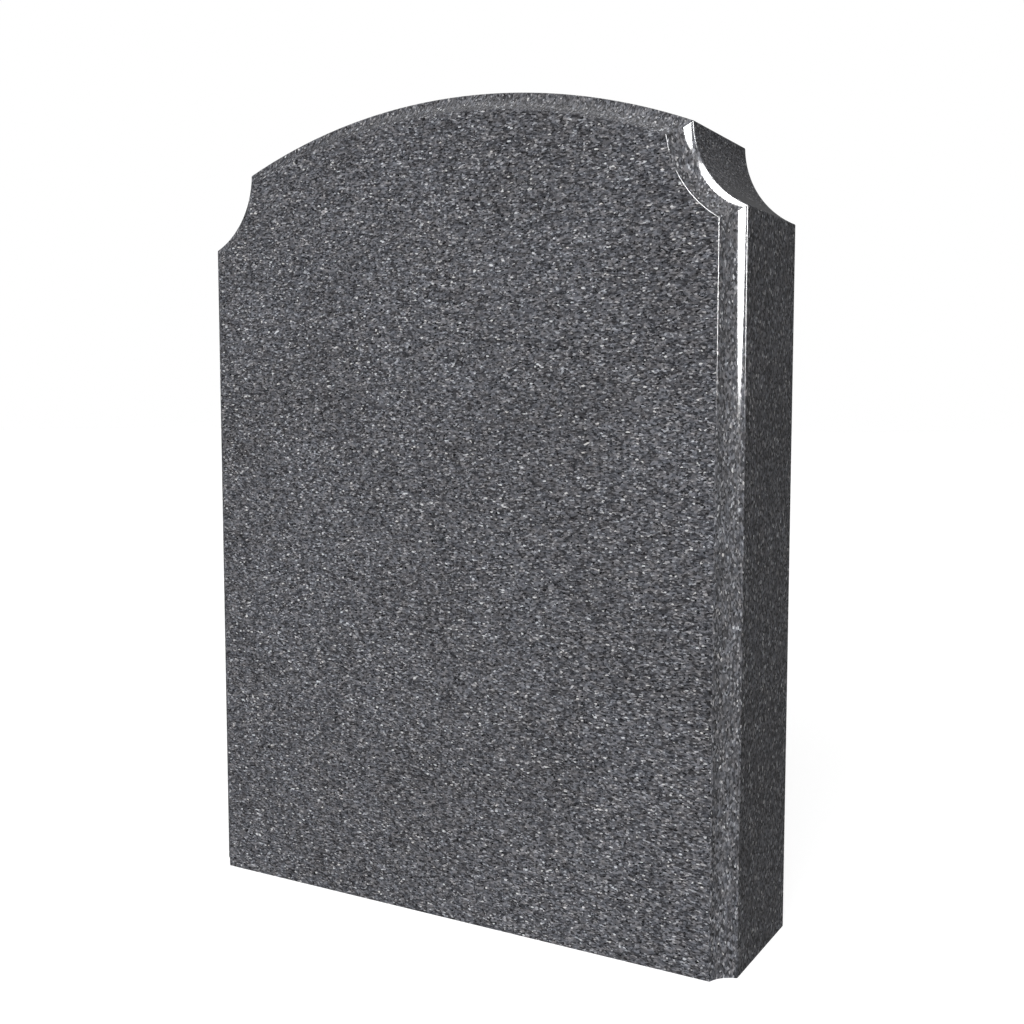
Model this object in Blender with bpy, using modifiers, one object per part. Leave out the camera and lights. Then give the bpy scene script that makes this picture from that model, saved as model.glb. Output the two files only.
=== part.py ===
# Granite headstone: one upright tablet of polished granite with an arched top, a scooped shoulder at each end of
# the arch and a coved moulding worked round the front edge. The stone stands on z = 0, its front looks along -Y,
# and the origin is at the middle of its underside.

import bpy
import bmesh
from math import atan2, cos, pi, sin, sqrt
from mathutils import Vector

# Overall size of the tablet, in metres
WIDTH = 0.6096
HEIGHT = 0.8128
THICKNESS = 0.1524

# Arched top: how far its crown rises above its two ends
ARCH_RISE = 0.0508

# Scooped shoulders: how far they reach in from the side, how far they drop below the end of the arch, and how
# deep their hollow lies below a straight cut from end to end
SHOULDER_REACH = 0.0508
SHOULDER_DROP = 0.0762
SCOOP_DEPTH = 0.0132

# Moulding along the sides, shoulders and arch: its width across the front, its depth behind the front, and how
# deep the cove lies below a plain chamfer
MOULDING_WIDTH = 0.01905
MOULDING_DEPTH = 0.01905
COVE_DEPTH = 0.0035

# Every arris is eased by this much along each of its faces, apart from those of the sawn underside
ARRIS_EASE = 0.0012

# Fineness of the curves
HALF_ARCH_STEPS = 24
SCOOP_STEPS = 16
COVE_STEPS = 10
EASE_STEPS = 2

# The two halves are joined where their points are nearer than this
JOIN_DISTANCE = 0.00001

# Polished grey granite
GRANITE_COLOUR = (0.115, 0.116, 0.125, 1.0)
GRANITE_ROUGHNESS = 0.2


def circle_of_arc(start, end, depth):
    """Centre and radius of the arc from start to end whose middle lies depth to the right of the chord."""
    chord = end - start
    radius = ((chord.length / 2) ** 2 + depth**2) / (2 * depth)
    to_left = Vector((-chord.y, chord.x)).normalized()
    return (start + end) / 2 + to_left * (radius - depth), radius


def left_meeting(centre_a, radius_a, centre_b, radius_b):
    """The point where two circles meet, on the left of the line from centre_a to centre_b."""
    between = centre_b - centre_a
    apart = between.length
    along = (radius_a**2 - radius_b**2 + apart**2) / (2 * apart)
    aside = sqrt(radius_a**2 - along**2)
    ahead = between / apart
    return centre_a + ahead * along + Vector((-ahead.y, ahead.x)) * aside


def arc_points(centre, start, end, steps):
    """Points that follow start, round to end, on the circle about centre."""
    spoke, last_spoke = start - centre, end - centre
    first_angle = atan2(spoke.y, spoke.x)
    turn = (atan2(last_spoke.y, last_spoke.x) - first_angle + pi) % (2 * pi) - pi
    angles = [first_angle + turn * step / steps for step in range(1, steps + 1)]
    return [centre + spoke.length * Vector((cos(angle), sin(angle))) for angle in angles]


def half_outline(inset):
    """Right half of the front view, moved in from the stone's edge by inset: foot, side, shoulder, arch, crown."""
    arch_end = Vector((WIDTH / 2 - SHOULDER_REACH, HEIGHT - ARCH_RISE))
    other_arch_end = Vector((-arch_end.x, arch_end.y))
    shoulder_foot = Vector((WIDTH / 2, arch_end.y - SHOULDER_DROP))
    arch_centre, arch_radius = circle_of_arc(arch_end, other_arch_end, ARCH_RISE)
    scoop_centre, scoop_radius = circle_of_arc(arch_end, shoulder_foot, SCOOP_DEPTH)
    arch_radius -= inset
    scoop_radius += inset

    side = WIDTH / 2 - inset
    below_centre = sqrt(scoop_radius**2 - (scoop_centre.x - side) ** 2)
    foot = Vector((side, 0))
    lower_corner = Vector((side, scoop_centre.y - below_centre))
    upper_corner = left_meeting(arch_centre, arch_radius, scoop_centre, scoop_radius)
    crown = Vector((0, arch_centre.y + arch_radius))

    outline = [foot, lower_corner]
    outline += arc_points(scoop_centre, lower_corner, upper_corner, SCOOP_STEPS)
    outline += arc_points(arch_centre, upper_corner, crown, HALF_ARCH_STEPS)
    return outline


def cove_section():
    """The cove from the side to the front, as pairs of inset and distance behind the front."""
    on_side = Vector((0, MOULDING_DEPTH))
    on_front = Vector((MOULDING_WIDTH, 0))
    centre, _ = circle_of_arc(on_front, on_side, COVE_DEPTH)
    return [on_side] + arc_points(centre, on_side, on_front, COVE_STEPS)


def right_half():
    """Loft of the right half through its outlines from back to front, open on the middle plane."""
    front, back = -THICKNESS / 2, THICKNESS / 2
    levels = [(0, back)] + [(inset, front + behind) for inset, behind in cove_section()]

    bm = bmesh.new()
    rings = [[bm.verts.new((point.x, y, point.y)) for point in half_outline(inset)] for inset, y in levels]
    for rear, fore in zip(rings, rings[1:]):
        for step in range(len(rear) - 1):
            bm.faces.new((rear[step], rear[step + 1], fore[step + 1], fore[step]))
    middle_back = bm.verts.new((0, back, 0))
    middle_front = bm.verts.new((0, front, 0))
    bm.faces.new([middle_front] + rings[-1])
    bm.faces.new(reversed([middle_back] + rings[0]))
    bm.faces.new([middle_back] + [ring[0] for ring in rings] + [middle_front])

    mark_arrises(bm, rings)
    mesh = bpy.data.meshes.new("tablet")
    bm.to_mesh(mesh)
    bm.free()
    return mesh


def mark_arrises(bm, rings):
    """Give the weight that eases them to the long arrises and to the shoulders' edges between side and back."""
    weight = bm.edges.layers.float.new("bevel_weight_edge")
    back_ring, side_ring, front_ring = rings[0], rings[1], rings[-1]
    for ring in (back_ring, side_ring, front_ring):
        for start, end in zip(ring, ring[1:]):
            bm.edges.get((start, end))[weight] = 1.0
    for corner in (1, 1 + SCOOP_STEPS):
        bm.edges.get((back_ring[corner], side_ring[corner]))[weight] = 1.0


def granite():
    """Polished grey granite with a slight blue cast."""
    material = bpy.data.materials.new("granite")
    material.use_nodes = True
    shader = material.node_tree.nodes["Principled BSDF"]
    shader.inputs["Base Color"].default_value = GRANITE_COLOUR
    shader.inputs["Roughness"].default_value = GRANITE_ROUGHNESS
    shader.inputs["Metallic"].default_value = 0.0
    return material


def make_tablet(collection):
    """The whole stone: its right half, mirrored, with eased arrises."""
    tablet = bpy.data.objects.new("tablet", right_half())
    collection.objects.link(tablet)
    tablet.data.materials.append(granite())
    tablet.data.shade_smooth()

    mirror = tablet.modifiers.new("left half", "MIRROR")
    mirror.use_axis = (True, False, False)
    mirror.merge_threshold = JOIN_DISTANCE

    ease = tablet.modifiers.new("eased arrises", "BEVEL")
    ease.limit_method = "WEIGHT"
    ease.offset_type = "OFFSET"
    ease.width = ARRIS_EASE
    ease.segments = EASE_STEPS
    ease.use_clamp_overlap = False
    return tablet


def main():
    for existing in list(bpy.data.objects):
        bpy.data.objects.remove(existing, do_unlink=True)
    headstone = bpy.data.collections.new("granite_headstone")
    bpy.context.scene.collection.children.link(headstone)
    make_tablet(headstone)


main()
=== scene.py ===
# Granite headstone: the looks of one upright tablet of polished dark grey granite, with an arched top, a
# scooped shoulder at each end of the arch and a coved moulding round its front edge. The stone stands on
# z = 0 and its front looks along -Y. Sizes are in metres and angles in degrees. Every way that is given as
# azimuth and elevation points away from the stone, to the right of its front and above the floor.

from math import atan2, cos, pi, radians, sin, sqrt, tan

import bmesh
import bpy
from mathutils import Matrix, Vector


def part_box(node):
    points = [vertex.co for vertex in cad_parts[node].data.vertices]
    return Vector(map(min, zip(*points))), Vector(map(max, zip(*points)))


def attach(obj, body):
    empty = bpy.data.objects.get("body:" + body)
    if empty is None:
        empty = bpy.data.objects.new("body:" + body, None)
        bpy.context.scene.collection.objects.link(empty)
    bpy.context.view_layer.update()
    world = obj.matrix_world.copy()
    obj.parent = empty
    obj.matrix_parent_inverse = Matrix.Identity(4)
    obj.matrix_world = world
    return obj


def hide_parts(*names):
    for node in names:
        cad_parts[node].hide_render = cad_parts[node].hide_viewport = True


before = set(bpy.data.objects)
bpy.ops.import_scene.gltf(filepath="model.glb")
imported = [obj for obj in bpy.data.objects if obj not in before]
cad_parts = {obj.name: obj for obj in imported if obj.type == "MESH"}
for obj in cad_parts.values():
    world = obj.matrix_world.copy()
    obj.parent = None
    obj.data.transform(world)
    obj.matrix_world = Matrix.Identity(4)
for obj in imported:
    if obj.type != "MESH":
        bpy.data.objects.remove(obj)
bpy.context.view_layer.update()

# Overall size of the stone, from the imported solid
stone_low, stone_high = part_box("tablet")
WIDTH = stone_high.x - stone_low.x
HEIGHT = stone_high.z
THICKNESS = stone_high.y - stone_low.y
FRONT = stone_low.y

# Arched top: how far its crown rises above its two ends
ARCH_RISE = 0.0508

# Scooped shoulders: how far they reach in from the side, how far they drop below the end of the arch, and
# how deep their hollow lies below a straight cut from end to end
SHOULDER_REACH = 0.0508
SHOULDER_DROP = 0.0762
SCOOP_DEPTH = 0.0132

# Moulding along the sides, shoulders and arch: its width across the front, its depth behind the front, and
# how deep the cove lies below a plain chamfer
MOULDING_WIDTH = 0.01905
MOULDING_DEPTH = 0.01905
COVE_DEPTH = 0.0035

# Radius that the polisher's pad leaves on the arrises, and on the mitres where two runs of the cove meet
ARRIS_RADIUS = 0.0016
MITRE_RADIUS = 0.0004

# Fineness of the curves
HALF_ARCH_STEPS = 96
SCOOP_STEPS = 56
COVE_STEPS = 28
EASE_STEPS = 7

# The two halves are joined where their points are nearer than this
JOIN_DISTANCE = 0.00001

# Places of the five finishes in the stone's list of materials
FACE_FINISH = 0
SIDE_FINISH = 1
TOP_FINISH = 2
MOULDING_FINISH = 3
SAWN_FINISH = 4

# Grains: their usual size, how far their outlines wander, and how long each bend of the wandering is
GRAIN_SIZE = 0.00125
WANDER_REACH = 0.9 * GRAIN_SIZE
WANDER_LENGTH = 1.6 * GRAIN_SIZE

# How much longer the grains lie along the stone's width, depth and height: on the front and back, on the
# sides, on the shoulders and arch, on the moulding that runs round those, and on the underside
FACE_STRETCH = (1.9, 1.0, 1.0)
SIDE_STRETCH = (0.85, 1.35, 2.0)
TOP_STRETCH = (0.9, 1.5, 0.9)
MOULDING_STRETCH = (1.0, 1.8, 1.8)
EVEN_STRETCH = (1.2, 1.2, 1.2)

# Minerals of the granite: the share of the grains that are darker, and the mineral's colour
MINERALS = (
    (0.000, (0.016, 0.016, 0.018)),
    (0.030, (0.030, 0.030, 0.034)),
    (0.160, (0.054, 0.054, 0.061)),
    (0.400, (0.107, 0.107, 0.120)),
    (0.710, (0.190, 0.189, 0.208)),
    (0.930, (0.375, 0.373, 0.400)),
    (0.987, (0.660, 0.655, 0.680)),
)

# Clouds of tone: about how many there are to the metre, and how much darker or paler they make the stone
CLOUDS_PER_METRE = 9.0
CLOUD_STRENGTH = 0.24

# Warm and blue patches: their size, the tints of the warmest and the bluest, where each tint is reached on
# the scale of the noise that mixes them, and how much bluer the palest clouds are on that scale
PATCH_SIZE = 3 * GRAIN_SIZE
WARM_TINT = (1.0, 0.98, 0.93)
BLUE_TINT = (0.94, 0.98, 1.0)
WARM_END = 0.425
BLUE_END = 0.825
BLUER_CLOUDS = 0.25

# How strongly granite refracts, and the least and most roughness of its crystals, polished and sawn
GRANITE_IOR = 1.55
POLISHED_ROUGHNESS = (0.06, 0.11)
SAWN_ROUGHNESS = (0.6, 0.85)

# Sawn surface: how much of the grains' colour shows through the dust in its pores, the dust's own colour,
# how far apart the saw's lines are, how dark and how pale they get, and how high the texture stands
GRAIN_THROUGH_DUST = 0.6
SAW_DUST = (0.130, 0.130, 0.134)
SAW_LINE_SPACING = 0.0045
SAW_LINE_TONES = (0.8, 1.15)
SAW_RELIEF = 0.0003

# Distance between the bands of a wave texture of scale 1
WAVE_PERIOD = pi / 10

# Camera at the photograph's viewing angle
CAMERA_PLACE = (0.6680, -1.0895, 0.5078)
CAMERA_TILT = 90 - 4.59
CAMERA_TURN = 30.06
CAMERA_LENS = 43.42
CAMERA_SENSOR = 36

# Studio floor: its half width, the sliver that keeps it clear of the stone's underside, its dull grey
# paint, and the glow that brings it up to the white of the backdrop
FLOOR_REACH = 30.0
FLOOR_GAP = 0.0002
FLOOR_GREY = 0.35
FLOOR_ROUGHNESS = 0.9
FLOOR_GLOW = 0.82

# Colour of the room's light, the backdrop and the floor's glow
WHITE = (1.0, 1.0, 1.0, 1.0)

# Studio room: the even light that it gives, how bright its dim walls are where the polish mirrors them, and
# how much brighter the pale ceiling and the pale wall on the right are
ROOM_LIGHT = 0.15
DIM_WALL = 0.09
PALE_CEILING = 0.6
PALE_WALL = 0.5

# Azimuth and elevation of the middles of the pale ceiling and the pale wall, and the cosine of the angle
# from its middle at which each one has faded out
CEILING_WAY = (-108, 84)
CEILING_EDGE = 0.68
WALL_WAY = (70, 26)
WALL_EDGE = 0.12

# Lamps: how far off they stand, and the place high on the stone's right side that they look at
LAMP_DISTANCE = 30.0
LAMP_AIM = Vector((WIDTH / 2, 0, HEIGHT * 0.75))

# Key light, and the weaker light from behind: strength, azimuth and elevation, and the angle it spans
KEY_LIGHT = 1.04
KEY_WAY = (11, 28)
KEY_SPREAD = 50
BACK_LIGHT = 0.5
BACK_WAY = (200, 12)
BACK_SPREAD = 20

# Round softboxes: how bright the polish mirrors them, azimuth and elevation, and half the angle they span
SOFTBOX_GLARE = 45.0
LOW_SOFTBOX_WAY = (35.2, 14.25)
LOW_SOFTBOX_HALF_ANGLE = 13.6
HIGH_SOFTBOX_WAY = (11.6, 42.15)
HIGH_SOFTBOX_HALF_ANGLE = 12.7


def circle_of_arc(start, end, depth):
    """Centre and radius of the arc from start to end whose middle lies depth to the right of the chord."""
    chord = end - start
    radius = ((chord.length / 2) ** 2 + depth**2) / (2 * depth)
    to_left = Vector((-chord.y, chord.x)).normalized()
    return (start + end) / 2 + to_left * (radius - depth), radius


def left_meeting(centre_a, radius_a, centre_b, radius_b):
    """The point where two circles meet, on the left of the line from centre_a to centre_b."""
    between = centre_b - centre_a
    apart = between.length
    along = (radius_a**2 - radius_b**2 + apart**2) / (2 * apart)
    aside = sqrt(radius_a**2 - along**2)
    ahead = between / apart
    return centre_a + ahead * along + Vector((-ahead.y, ahead.x)) * aside


def easing_reach(hollow_radius, face_distance, ease):
    """How far along a face the centre of an easing lies from a hollow's centre, where the easing touches
    both the face and the hollow."""
    return sqrt((hollow_radius + ease) ** 2 - (face_distance + ease) ** 2)


def towards(centre, target, distance):
    """The point that lies distance from centre in the direction of target."""
    return centre + (target - centre).normalized() * distance


def arc_points(centre, start, end, steps):
    """Points that follow start, round to end, on the circle about centre."""
    spoke, last_spoke = start - centre, end - centre
    first_angle = atan2(spoke.y, spoke.x)
    turn = (atan2(last_spoke.y, last_spoke.x) - first_angle + pi) % (2 * pi) - pi
    angles = [first_angle + turn * step / steps for step in range(1, steps + 1)]
    return [centre + spoke.length * Vector((cos(angle), sin(angle))) for angle in angles]


def half_outline(inset):
    """Right half of the front view, moved in from the edge by inset: foot, side, shoulder, arch, crown."""
    arch_end = Vector((WIDTH / 2 - SHOULDER_REACH, HEIGHT - ARCH_RISE))
    other_arch_end = Vector((-arch_end.x, arch_end.y))
    shoulder_foot = Vector((WIDTH / 2, arch_end.y - SHOULDER_DROP))
    arch_centre, arch_radius = circle_of_arc(arch_end, other_arch_end, ARCH_RISE)
    scoop_centre, scoop_radius = circle_of_arc(arch_end, shoulder_foot, SCOOP_DEPTH)
    arch_radius -= inset
    scoop_radius += inset
    side = WIDTH / 2 - inset
    ease = max(ARRIS_RADIUS - inset, MITRE_RADIUS)

    below_scoop = easing_reach(scoop_radius, scoop_centre.x - side, ease)
    lower_easing = Vector((side - ease, scoop_centre.y - below_scoop))
    upper_easing = left_meeting(arch_centre, arch_radius - ease, scoop_centre, scoop_radius + ease)

    side_end = Vector((side, lower_easing.y))
    scoop_start = towards(scoop_centre, lower_easing, scoop_radius)
    scoop_end = towards(scoop_centre, upper_easing, scoop_radius)
    arch_start = towards(arch_centre, upper_easing, arch_radius)
    crown = Vector((0, arch_centre.y + arch_radius))

    outline = [Vector((side, 0)), side_end]
    outline += arc_points(lower_easing, side_end, scoop_start, EASE_STEPS)
    outline += arc_points(scoop_centre, scoop_start, scoop_end, SCOOP_STEPS)
    outline += arc_points(upper_easing, scoop_end, arch_start, EASE_STEPS)
    outline += arc_points(arch_centre, arch_start, crown, HALF_ARCH_STEPS)
    return outline


def edge_section():
    """The way from the back over the side and the cove to the front, as pairs of inset and distance behind
    the front."""
    on_side = Vector((0, MOULDING_DEPTH))
    on_front = Vector((MOULDING_WIDTH, 0))
    cove_centre, cove_radius = circle_of_arc(on_front, on_side, COVE_DEPTH)
    behind_cove = easing_reach(cove_radius, -cove_centre.x, ARRIS_RADIUS)
    inside_cove = easing_reach(cove_radius, -cove_centre.y, ARRIS_RADIUS)

    back_easing = Vector((ARRIS_RADIUS, THICKNESS - ARRIS_RADIUS))
    side_easing = Vector((ARRIS_RADIUS, cove_centre.y + behind_cove))
    front_easing = Vector((cove_centre.x + inside_cove, ARRIS_RADIUS))

    back_end = Vector((ARRIS_RADIUS, THICKNESS))
    side_start = Vector((0, back_easing.y))
    side_end = Vector((0, side_easing.y))
    cove_start = towards(cove_centre, side_easing, cove_radius)
    cove_end = towards(cove_centre, front_easing, cove_radius)
    front_start = Vector((front_easing.x, 0))

    section = [back_end]
    section += arc_points(back_easing, back_end, side_start, EASE_STEPS)
    section += [side_end]
    section += arc_points(side_easing, side_end, cove_start, EASE_STEPS)
    section += arc_points(cove_centre, cove_start, cove_end, COVE_STEPS)
    section += arc_points(front_easing, cove_end, front_start, EASE_STEPS)
    return section


def right_half():
    """Loft of the right half through its outlines from back to front, open on the middle plane."""
    bm = bmesh.new()
    rings = []
    for inset, behind in edge_section():
        rings.append([bm.verts.new((point.x, FRONT + behind, point.y)) for point in half_outline(inset)])
    middle_back = bm.verts.new((0, FRONT + THICKNESS, 0))
    middle_front = bm.verts.new((0, FRONT, 0))

    for level, (rear, fore) in enumerate(zip(rings, rings[1:])):
        upper_finish = TOP_FINISH if level <= EASE_STEPS else MOULDING_FINISH
        for step in range(len(rear) - 1):
            quad = bm.faces.new((rear[step], rear[step + 1], fore[step + 1], fore[step]))
            quad.material_index = SIDE_FINISH if step == 0 else upper_finish
    front_face = bm.faces.new([middle_front] + rings[-1])
    back_face = bm.faces.new(reversed([middle_back] + rings[0]))
    front_face.material_index = back_face.material_index = FACE_FINISH
    underside = bm.faces.new([middle_back] + [ring[0] for ring in rings] + [middle_front])
    underside.material_index = SAWN_FINISH

    for face in bm.faces:
        face.smooth = True
    for edge in underside.edges:
        edge.smooth = False
    mesh = bpy.data.meshes.new("polished_tablet")
    bm.to_mesh(mesh)
    bm.free()
    return mesh


def make_tablet():
    """The whole stone: its right half, mirrored, shaded so that its flat faces stay flat."""
    tablet = bpy.data.objects.new("polished_tablet", right_half())
    bpy.context.scene.collection.objects.link(tablet)
    grain_group = granite_grain()
    for finish in (
        polished_granite("polished_face", grain_group, FACE_STRETCH),
        polished_granite("polished_side", grain_group, SIDE_STRETCH),
        polished_granite("polished_top", grain_group, TOP_STRETCH),
        polished_granite("polished_moulding", grain_group, MOULDING_STRETCH),
        sawn_granite("sawn_underside", grain_group, EVEN_STRETCH),
    ):
        tablet.data.materials.append(finish)

    mirror = tablet.modifiers.new("left half", "MIRROR")
    mirror.use_axis = (True, False, False)
    mirror.merge_threshold = JOIN_DISTANCE

    flats = tablet.modifiers.new("flat faces stay flat", "WEIGHTED_NORMAL")
    flats.mode = "FACE_AREA"
    flats.weight = 100
    flats.keep_sharp = True

    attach(tablet, "root")
    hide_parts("tablet")


def add_node(tree, kind, title, settings=None, **inputs):
    """A titled node, with its settings and the unlinked values of its inputs."""
    node = tree.nodes.new(kind)
    node.label = title
    for setting, value in (settings or {}).items():
        setattr(node, setting, value)
    for name, value in inputs.items():
        node.inputs[name.replace("_", " ")].default_value = value
    return node


def add_range(tree, title, ends):
    """Node that spreads values from 0 to 1 between the two ends."""
    return add_node(tree, "ShaderNodeMapRange", title, To_Min=ends[0], To_Max=ends[1])


def add_ramp(tree, title, stops, interpolation="LINEAR"):
    """Colour ramp through stops of position and colour."""
    ramp = add_node(tree, "ShaderNodeValToRGB", title)
    ramp.color_ramp.interpolation = interpolation
    elements = ramp.color_ramp.elements
    while len(elements) < len(stops):
        elements.new(1.0)
    for element, (position, colour) in zip(elements, stops):
        element.position = position
        element.color = (*colour, 1.0)
    return ramp


def granite_grain():
    """Group of nodes that every finish shares: crystals of seven minerals, with soft clouds of tone and
    warmth. It gives their colour, a softness that differs from crystal to crystal, and their relief."""
    group = bpy.data.node_groups.new("granite grain", "ShaderNodeTree")
    stretch_socket = group.interface.new_socket("Stretch", in_out="INPUT", socket_type="NodeSocketVector")
    stretch_socket.default_value = EVEN_STRETCH
    group.interface.new_socket("Colour", in_out="OUTPUT", socket_type="NodeSocketColor")
    group.interface.new_socket("Softness", in_out="OUTPUT", socket_type="NodeSocketFloat")
    group.interface.new_socket("Relief", in_out="OUTPUT", socket_type="NodeSocketFloat")
    link = group.links.new

    entry = add_node(group, "NodeGroupInput", "values of the finish")
    result = add_node(group, "NodeGroupOutput", "grain")
    place = add_node(group, "ShaderNodeTexCoord", "place in the stone")
    drawn_out = add_node(group, "ShaderNodeVectorMath", "longer one way", {"operation": "DIVIDE"})
    link(place.outputs["Object"], drawn_out.inputs[0])
    link(entry.outputs["Stretch"], drawn_out.inputs[1])

    wander = add_node(group, "ShaderNodeTexNoise", "uneven crystals", Scale=1 / WANDER_LENGTH, Detail=1.0)
    centred = add_node(group, "ShaderNodeVectorMath", "both ways", {"operation": "SUBTRACT"})
    centred.inputs[1].default_value = (0.5, 0.5, 0.5)
    nudge = add_node(group, "ShaderNodeVectorMath", "wander added", {"operation": "MULTIPLY_ADD"})
    nudge.inputs[1].default_value = (WANDER_REACH,) * 3
    link(drawn_out.outputs[0], wander.inputs["Vector"])
    link(wander.outputs["Color"], centred.inputs[0])
    link(centred.outputs[0], nudge.inputs[0])
    link(drawn_out.outputs[0], nudge.inputs[2])

    crystals = add_node(group, "ShaderNodeTexVoronoi", "crystals", Scale=1 / GRAIN_SIZE)
    link(nudge.outputs[0], crystals.inputs["Vector"])
    lot = add_node(group, "ShaderNodeSeparateColor", "lot of each crystal")
    link(crystals.outputs["Color"], lot.inputs["Color"])
    minerals = add_ramp(group, "minerals", MINERALS, "CONSTANT")
    link(lot.outputs["Red"], minerals.inputs["Fac"])

    clouds = add_node(group, "ShaderNodeTexNoise", "clouds of tone", Scale=CLOUDS_PER_METRE, Detail=5.0)
    link(place.outputs["Object"], clouds.inputs["Vector"])
    cloud_tone = add_range(group, "strength of the clouds", (1 - CLOUD_STRENGTH, 1 + CLOUD_STRENGTH))
    link(clouds.outputs["Fac"], cloud_tone.inputs["Value"])
    clouded = add_node(group, "ShaderNodeVectorMath", "clouded", {"operation": "SCALE"})
    link(minerals.outputs["Color"], clouded.inputs[0])
    link(cloud_tone.outputs["Result"], clouded.inputs["Scale"])

    patches = add_node(group, "ShaderNodeTexNoise", "patches of warmth", Scale=1 / PATCH_SIZE, Detail=1.0)
    link(drawn_out.outputs[0], patches.inputs["Vector"])
    bluer = add_node(group, "ShaderNodeMath", "bluer in the pale clouds", {"operation": "MULTIPLY_ADD"})
    bluer.inputs[1].default_value = BLUER_CLOUDS
    link(clouds.outputs["Fac"], bluer.inputs[0])
    link(patches.outputs["Fac"], bluer.inputs[2])
    tint = add_ramp(group, "tint of the patches", ((WARM_END, WARM_TINT), (BLUE_END, BLUE_TINT)))
    link(bluer.outputs[0], tint.inputs["Fac"])
    tinted = add_node(group, "ShaderNodeVectorMath", "tinted", {"operation": "MULTIPLY"})
    link(clouded.outputs[0], tinted.inputs[0])
    link(tint.outputs["Color"], tinted.inputs[1])

    link(tinted.outputs[0], result.inputs["Colour"])
    link(lot.outputs["Green"], result.inputs["Softness"])
    link(crystals.outputs["Distance"], result.inputs["Relief"])
    return group


def new_finish(name, grain_group, stretch):
    """A granite material with its shader, and the grain drawn out by stretch."""
    material = bpy.data.materials.new(name)
    material.use_nodes = True
    tree = material.node_tree
    shader = tree.nodes["Principled BSDF"]
    shader.inputs["IOR"].default_value = GRANITE_IOR
    grain = add_node(tree, "ShaderNodeGroup", "granite grain", {"node_tree": grain_group}, Stretch=stretch)
    return material, tree, shader, grain


def polished_granite(name, grain_group, stretch):
    """Mirror polish, a little duller on the softer crystals."""
    material, tree, shader, grain = new_finish(name, grain_group, stretch)
    link = tree.links.new
    dulling = add_range(tree, "duller crystals", POLISHED_ROUGHNESS)
    link(grain.outputs["Colour"], shader.inputs["Base Color"])
    link(grain.outputs["Softness"], dulling.inputs["Value"])
    link(dulling.outputs["Result"], shader.inputs["Roughness"])
    return material


def sawn_granite(name, grain_group, stretch):
    """Rough stone, paler with dust in its pores, and with the fine lines that the saw leaves across its
    thickness."""
    material, tree, shader, grain = new_finish(name, grain_group, stretch)
    link = tree.links.new

    place = add_node(tree, "ShaderNodeTexCoord", "place in the stone")
    saw_lines = add_node(tree, "ShaderNodeTexWave", "saw lines", {"bands_direction": "X"},
                         Scale=WAVE_PERIOD / SAW_LINE_SPACING, Distortion=1.5, Detail=2.0, Detail_Scale=0.3)
    link(place.outputs["Object"], saw_lines.inputs["Vector"])

    dusty = add_node(tree, "ShaderNodeVectorMath", "dust in the pores", {"operation": "MULTIPLY_ADD"})
    dusty.inputs[1].default_value = (GRAIN_THROUGH_DUST,) * 3
    dusty.inputs[2].default_value = SAW_DUST
    link(grain.outputs["Colour"], dusty.inputs[0])
    line_tone = add_range(tree, "tone of the saw lines", SAW_LINE_TONES)
    link(saw_lines.outputs["Fac"], line_tone.inputs["Value"])
    lined = add_node(tree, "ShaderNodeVectorMath", "lined", {"operation": "SCALE"})
    link(dusty.outputs[0], lined.inputs[0])
    link(line_tone.outputs["Result"], lined.inputs["Scale"])
    link(lined.outputs[0], shader.inputs["Base Color"])

    roughness = add_range(tree, "rough crystals", SAWN_ROUGHNESS)
    link(grain.outputs["Softness"], roughness.inputs["Value"])
    link(roughness.outputs["Result"], shader.inputs["Roughness"])

    lines_and_crystals = add_node(tree, "ShaderNodeMath", "lines and crystals", {"operation": "ADD"})
    bump = add_node(tree, "ShaderNodeBump", "saw texture", Strength=0.6, Distance=SAW_RELIEF)
    link(saw_lines.outputs["Fac"], lines_and_crystals.inputs[0])
    link(grain.outputs["Relief"], lines_and_crystals.inputs[1])
    link(lines_and_crystals.outputs[0], bump.inputs["Height"])
    link(bump.outputs["Normal"], shader.inputs["Normal"])
    return material


def make_floor():
    """Plain pale floor, as white as the background, which takes only the stone's soft shadow."""
    bm = bmesh.new()
    bmesh.ops.create_grid(bm, x_segments=1, y_segments=1, size=FLOOR_REACH)
    mesh = bpy.data.meshes.new("studio_floor")
    bm.to_mesh(mesh)
    bm.free()
    floor = bpy.data.objects.new("studio_floor", mesh)
    floor.location.z = -FLOOR_GAP
    bpy.context.scene.collection.objects.link(floor)

    paint = bpy.data.materials.new("white_floor")
    paint.use_nodes = True
    shader = paint.node_tree.nodes["Principled BSDF"]
    shader.inputs["Base Color"].default_value = (FLOOR_GREY, FLOOR_GREY, FLOOR_GREY, 1.0)
    shader.inputs["Roughness"].default_value = FLOOR_ROUGHNESS
    shader.inputs["Specular IOR Level"].default_value = 0.0
    shader.inputs["Emission Color"].default_value = WHITE
    shader.inputs["Emission Strength"].default_value = FLOOR_GLOW
    mesh.materials.append(paint)
    floor.visible_glossy = False
    floor.visible_diffuse = False


def direction(way):
    """Unit vector of an azimuth and elevation."""
    turn, lift = (radians(angle) for angle in way)
    return Vector((sin(turn) * cos(lift), -cos(turn) * cos(lift), sin(lift)))


def pale_area(tree, title, ray_way, middle, edge, brightness):
    """Brightness of a pale area of the room, from full at its middle to none where a ray's nearness to the
    middle has fallen to edge."""
    nearness = add_node(tree, "ShaderNodeVectorMath", "nearness to " + title, {"operation": "DOT_PRODUCT"})
    nearness.inputs[1].default_value = direction(middle)
    fading = add_node(tree, "ShaderNodeMapRange", title, {"interpolation_type": "SMOOTHSTEP"},
                      From_Min=edge, To_Max=brightness)
    tree.links.new(ray_way, nearness.inputs[0])
    tree.links.new(nearness.outputs["Value"], fading.inputs["Value"])
    return fading.outputs["Result"]


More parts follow.
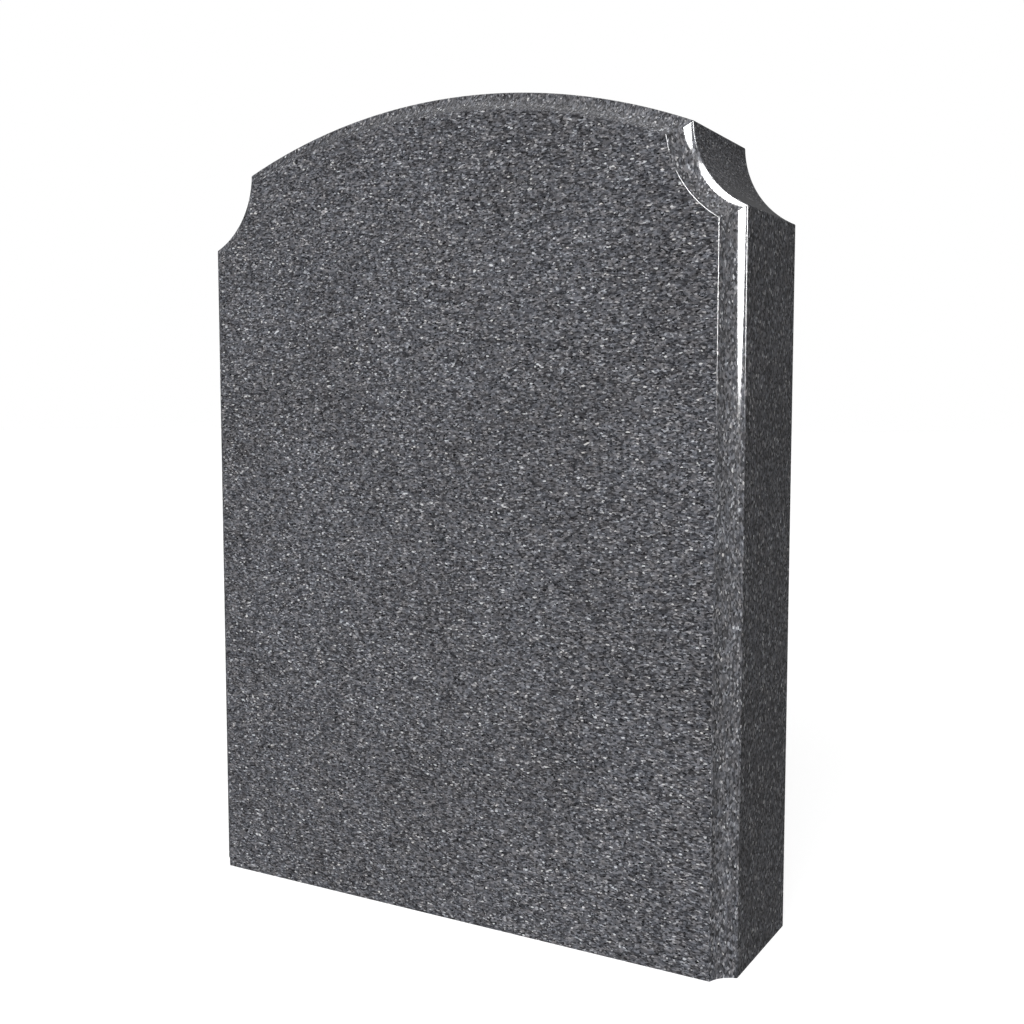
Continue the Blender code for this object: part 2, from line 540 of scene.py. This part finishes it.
def make_world():
    """White backdrop for the camera, an even room that lights the stone, and the dim room with its pale
    ceiling and wall that the polish mirrors."""
    world = bpy.data.worlds.new("studio")
    bpy.context.scene.world = world
    world.use_nodes = True
    tree = world.node_tree
    link = tree.links.new
    output = tree.nodes["World Output"]
    room = tree.nodes["Background"]
    room.label = "even room"
    room.inputs["Color"].default_value = WHITE
    room.inputs["Strength"].default_value = ROOM_LIGHT
    mirrored = add_node(tree, "ShaderNodeBackground", "room in the polish", Color=WHITE)
    backdrop = add_node(tree, "ShaderNodeBackground", "white backdrop", Color=WHITE)

    ray_way = add_node(tree, "ShaderNodeTexCoord", "way of the ray").outputs["Generated"]
    ceiling = pale_area(tree, "pale ceiling", ray_way, CEILING_WAY, CEILING_EDGE, PALE_CEILING)
    right_wall = pale_area(tree, "pale wall on the right", ray_way, WALL_WAY, WALL_EDGE, PALE_WALL)
    walls = add_node(tree, "ShaderNodeMath", "dim and pale walls", {"operation": "ADD"})
    walls.inputs[1].default_value = DIM_WALL
    whole_room = add_node(tree, "ShaderNodeMath", "walls and ceiling", {"operation": "ADD"})
    link(right_wall, walls.inputs[0])
    link(ceiling, whole_room.inputs[0])
    link(walls.outputs[0], whole_room.inputs[1])
    link(whole_room.outputs[0], mirrored.inputs["Strength"])

    rays = add_node(tree, "ShaderNodeLightPath", "kind of ray")
    stone_mix = add_node(tree, "ShaderNodeMixShader", "light or mirror image")
    camera_mix = add_node(tree, "ShaderNodeMixShader", "backdrop for the camera alone")
    link(rays.outputs["Is Glossy Ray"], stone_mix.inputs["Fac"])
    link(room.outputs["Background"], stone_mix.inputs[1])
    link(mirrored.outputs["Background"], stone_mix.inputs[2])
    link(rays.outputs["Is Camera Ray"], camera_mix.inputs["Fac"])
    link(stone_mix.outputs["Shader"], camera_mix.inputs[1])
    link(backdrop.outputs["Background"], camera_mix.inputs[2])
    link(camera_mix.outputs["Shader"], output.inputs["Surface"])


def place_light(name, kind, way):
    """A light that looks at the stone from the given way, out of the camera's sight."""
    lamp = bpy.data.objects.new(name, bpy.data.lights.new(name, kind))
    bpy.context.scene.collection.objects.link(lamp)
    away = direction(way)
    lamp.location = LAMP_AIM + away * LAMP_DISTANCE
    lamp.rotation_euler = away.to_track_quat("Z", "Y").to_euler()
    lamp.visible_camera = False
    return lamp


def add_broad_light(name, strength, way, spread):
    """Broad soft light, as wide as spread, that the polish doesn't mirror."""
    lamp = place_light(name, "SUN", way)
    lamp.data.angle = radians(spread)
    lamp.data.energy = pi * strength
    lamp.visible_glossy = False


def add_round_softbox(name, way, half_angle):
    """Round softbox that shows in the polish alone, as wide as half_angle to each side of its middle."""
    lamp = place_light(name, "AREA", way)
    radius = LAMP_DISTANCE * tan(radians(half_angle))
    lamp.data.shape = "DISK"
    lamp.data.size = 2 * radius
    lamp.data.energy = SOFTBOX_GLARE * pi * pi * radius**2
    lamp.visible_diffuse = False


def make_camera():
    """Camera at the photograph's viewing angle."""
    camera = bpy.data.objects.new("camera", bpy.data.cameras.new("camera"))
    bpy.context.scene.collection.objects.link(camera)
    camera.location = CAMERA_PLACE
    camera.rotation_euler = (radians(CAMERA_TILT), 0, radians(CAMERA_TURN))
    camera.data.sensor_width = CAMERA_SENSOR
    camera.data.lens = CAMERA_LENS
    bpy.context.scene.camera = camera


make_tablet()
make_floor()
make_world()
add_broad_light("key_light", KEY_LIGHT, KEY_WAY, KEY_SPREAD)
add_broad_light("back_light", BACK_LIGHT, BACK_WAY, BACK_SPREAD)
add_round_softbox("low_softbox", LOW_SOFTBOX_WAY, LOW_SOFTBOX_HALF_ANGLE)
add_round_softbox("high_softbox", HIGH_SOFTBOX_WAY, HIGH_SOFTBOX_HALF_ANGLE)
make_camera()
bpy.context.scene.view_settings.view_transform = "Standard"
